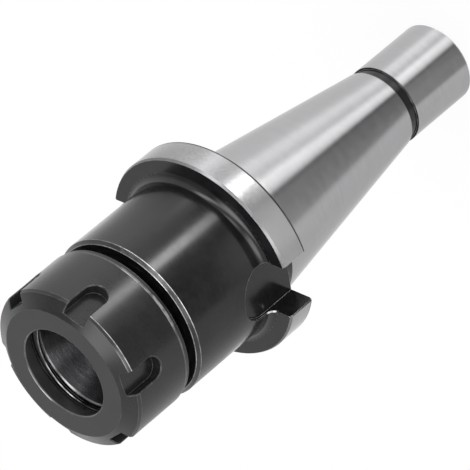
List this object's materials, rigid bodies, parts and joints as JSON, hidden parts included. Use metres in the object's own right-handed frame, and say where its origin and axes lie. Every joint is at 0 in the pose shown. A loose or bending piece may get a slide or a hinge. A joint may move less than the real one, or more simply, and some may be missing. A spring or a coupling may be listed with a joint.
{
  "type": "collet chuck holder",
  "caption": "Tool holder with a steep taper shank, a flange with drive slots, a stepped neck and a slotted round clamping nut over a collet socket.",
  "frame": {"origin": "on the axis at the gauge plane, where the shank taper has its nominal 44.45 mm diameter, 2.5 mm behind the flange", "axes": "+Z along the axis out of the nose, where the collet goes in; the two drive slots of the flange lie on +X and -X"},
  "size_m": [0.0612, 0.0634, 0.1634],
  "materials": {
    "ground_steel": "ground bright on the taper, pilot and flange rim, black oxide on the neck and flange faces",
    "black_steel": "satin black oxide with bright edges"
  },
  "bodies": {
    "holder": {"holder_body": "ground_steel"},
    "nut": {"clamping_nut": "black_steel"}
  },
  "joints": [
    {"name": "nut_turn", "type": "hinge", "parent": "holder", "child": "nut", "pos_m": [0, 0, 0.0585], "axis": [0, 0, 1], "range_deg": [-250, 2865]}
  ]
}
